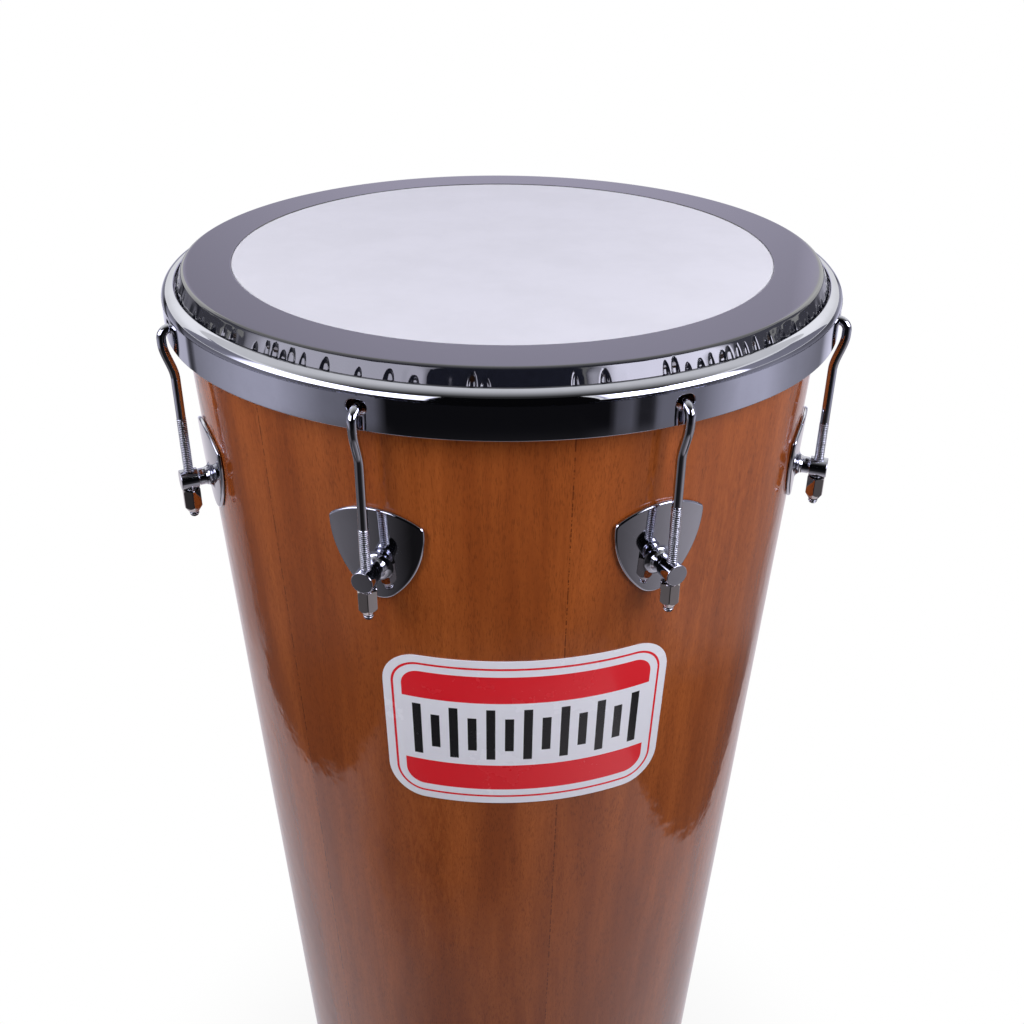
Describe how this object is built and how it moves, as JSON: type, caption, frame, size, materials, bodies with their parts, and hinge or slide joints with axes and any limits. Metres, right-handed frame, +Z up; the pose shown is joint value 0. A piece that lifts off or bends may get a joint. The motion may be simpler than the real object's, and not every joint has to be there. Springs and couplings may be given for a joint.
{
  "type": "timbal drum",
  "caption": "Tall tapered wooden hand drum, open at the foot, with one tuned head held by a chromed counterhoop and hooked tension rods.",
  "frame": {"origin": "on the floor under the middle of the drum", "axes": "+Z up along the drum's axis, -Y out of the front, where the label is"},
  "size_m": [0.372, 0.372, 0.9],
  "materials": {
    "veneer": "reddish brown veneer under clear gloss varnish",
    "plywood": "raw plywood",
    "rubber_trim": "matte",
    "label_film": "printed gloss sticker film",
    "head_film": "smooth coated white polyester film",
    "black_vinyl": "gloss, pleated on the side",
    "hoop_aluminium": "satin",
    "chrome": "mirror",
    "nickel": "bright nickel plate",
    "zinc_steel": "zinc plate"
  },
  "bodies": {
    "drum": {"shell": "veneer", "top_lining_ring": "plywood", "bottom_lining_ring": "plywood", "foot_trim": "rubber_trim", "label": "label_film", "head_membrane": "head_film", "head_ring": "black_vinyl", "head_collar": "black_vinyl", "lug_post_1": "chrome", "lug_post_2": "chrome", "lug_post_3": "chrome", "lug_post_4": "chrome", "lug_post_5": "chrome", "lug_post_6": "chrome", "lug_post_7": "chrome", "lug_post_8": "chrome", "lug_plate_1": "chrome", "lug_plate_2": "chrome", "lug_plate_3": "chrome", "lug_plate_4": "chrome", "lug_plate_5": "chrome", "lug_plate_6": "chrome", "lug_plate_7": "chrome", "lug_plate_8": "chrome", "lug_bolt_1": "zinc_steel", "lug_bolt_2": "zinc_steel", "lug_bolt_3": "zinc_steel", "lug_bolt_4": "zinc_steel", "lug_bolt_5": "zinc_steel", "lug_bolt_6": "zinc_steel", "lug_bolt_7": "zinc_steel", "lug_bolt_8": "zinc_steel", "lug_washer_1": "zinc_steel", "lug_washer_2": "zinc_steel", "lug_washer_3": "zinc_steel", "lug_washer_4": "zinc_steel", "lug_washer_5": "zinc_steel", "lug_washer_6": "zinc_steel", "lug_washer_7": "zinc_steel", "lug_washer_8": "zinc_steel"},
    "hoop": {"counterhoop": "chrome", "flesh_hoop": "hoop_aluminium"},
    "hook_1": {"hook_1": "chrome"},
    "hook_2": {"hook_2": "chrome"},
    "hook_3": {"hook_3": "chrome"},
    "hook_4": {"hook_4": "chrome"},
    "hook_5": {"hook_5": "chrome"},
    "hook_6": {"hook_6": "chrome"},
    "hook_7": {"hook_7": "chrome"},
    "hook_8": {"hook_8": "chrome"},
    "nut_1": {"nut_1": "nickel"},
    "nut_2": {"nut_2": "nickel"},
    "nut_3": {"nut_3": "nickel"},
    "nut_4": {"nut_4": "nickel"},
    "nut_5": {"nut_5": "nickel"},
    "nut_6": {"nut_6": "nickel"},
    "nut_7": {"nut_7": "nickel"},
    "nut_8": {"nut_8": "nickel"}
  },
  "joints": [
    {"name": "nut_1_turn", "type": "hinge", "parent": "drum", "child": "nut_1", "pos_m": [0.07118, -0.17184, 0.7949], "axis": [0, 0, 1], "range_deg": [-1080, 1080]},
    {"name": "nut_2_turn", "type": "hinge", "parent": "drum", "child": "nut_2", "pos_m": [0.17184, -0.07118, 0.7949], "axis": [0, 0, 1], "range_deg": [-1080, 1080]},
    {"name": "nut_3_turn", "type": "hinge", "parent": "drum", "child": "nut_3", "pos_m": [0.17184, 0.07118, 0.7949], "axis": [0, 0, 1], "range_deg": [-1080, 1080]},
    {"name": "nut_4_turn", "type": "hinge", "parent": "drum", "child": "nut_4", "pos_m": [0.07118, 0.17184, 0.7949], "axis": [0, 0, 1], "range_deg": [-1080, 1080]},
    {"name": "nut_5_turn", "type": "hinge", "parent": "drum", "child": "nut_5", "pos_m": [-0.07118, 0.17184, 0.7949], "axis": [0, 0, 1], "range_deg": [-1080, 1080]},
    {"name": "nut_6_turn", "type": "hinge", "parent": "drum", "child": "nut_6", "pos_m": [-0.17184, 0.07118, 0.7949], "axis": [0, 0, 1], "range_deg": [-1080, 1080]},
    {"name": "nut_7_turn", "type": "hinge", "parent": "drum", "child": "nut_7", "pos_m": [-0.17184, -0.07118, 0.7949], "axis": [0, 0, 1], "range_deg": [-1080, 1080]},
    {"name": "nut_8_turn", "type": "hinge", "parent": "drum", "child": "nut_8", "pos_m": [-0.07118, -0.17184, 0.7949], "axis": [0, 0, 1], "range_deg": [-1080, 1080]},
    {"name": "hook_1_slide", "type": "slide", "parent": "drum", "child": "hook_1", "axis": [0, 0, -1], "range_m": [-0.00317, 0.00317]},
    {"name": "hook_2_slide", "type": "slide", "parent": "drum", "child": "hook_2", "axis": [0, 0, -1], "range_m": [-0.00317, 0.00317]},
    {"name": "hook_3_slide", "type": "slide", "parent": "drum", "child": "hook_3", "axis": [0, 0, -1], "range_m": [-0.00317, 0.00317]},
    {"name": "hook_4_slide", "type": "slide", "parent": "drum", "child": "hook_4", "axis": [0, 0, -1], "range_m": [-0.00317, 0.00317]},
    {"name": "hook_5_slide", "type": "slide", "parent": "drum", "child": "hook_5", "axis": [0, 0, -1], "range_m": [-0.00317, 0.00317]},
    {"name": "hook_6_slide", "type": "slide", "parent": "drum", "child": "hook_6", "axis": [0, 0, -1], "range_m": [-0.00317, 0.00317]},
    {"name": "hook_7_slide", "type": "slide", "parent": "drum", "child": "hook_7", "axis": [0, 0, -1], "range_m": [-0.00317, 0.00317]},
    {"name": "hook_8_slide", "type": "slide", "parent": "drum", "child": "hook_8", "axis": [0, 0, -1], "range_m": [-0.00317, 0.00317]},
    {"name": "hoop_slide", "type": "slide", "parent": "drum", "child": "hoop", "axis": [0, 0, -1], "range_m": [-0.00317, 0.00317], "deforming": ["head_collar"]}
  ],
  "couplings": [
    {"joint": "nut_1_turn", "follows": "hoop_slide", "rad_per_m": 5936.9},
    {"joint": "nut_2_turn", "follows": "hoop_slide", "rad_per_m": 5936.9},
    {"joint": "nut_3_turn", "follows": "hoop_slide", "rad_per_m": 5936.9},
    {"joint": "nut_4_turn", "follows": "hoop_slide", "rad_per_m": 5936.9},
    {"joint": "nut_5_turn", "follows": "hoop_slide", "rad_per_m": 5936.9},
    {"joint": "nut_6_turn", "follows": "hoop_slide", "rad_per_m": 5936.9},
    {"joint": "nut_7_turn", "follows": "hoop_slide", "rad_per_m": 5936.9},
    {"joint": "nut_8_turn", "follows": "hoop_slide", "rad_per_m": 5936.9},
    {"joint": "hook_1_slide", "follows": "hoop_slide", "ratio": 1},
    {"joint": "hook_2_slide", "follows": "hoop_slide", "ratio": 1},
    {"joint": "hook_3_slide", "follows": "hoop_slide", "ratio": 1},
    {"joint": "hook_4_slide", "follows": "hoop_slide", "ratio": 1},
    {"joint": "hook_5_slide", "follows": "hoop_slide", "ratio": 1},
    {"joint": "hook_6_slide", "follows": "hoop_slide", "ratio": 1},
    {"joint": "hook_7_slide", "follows": "hoop_slide", "ratio": 1},
    {"joint": "hook_8_slide", "follows": "hoop_slide", "ratio": 1}
  ]
}
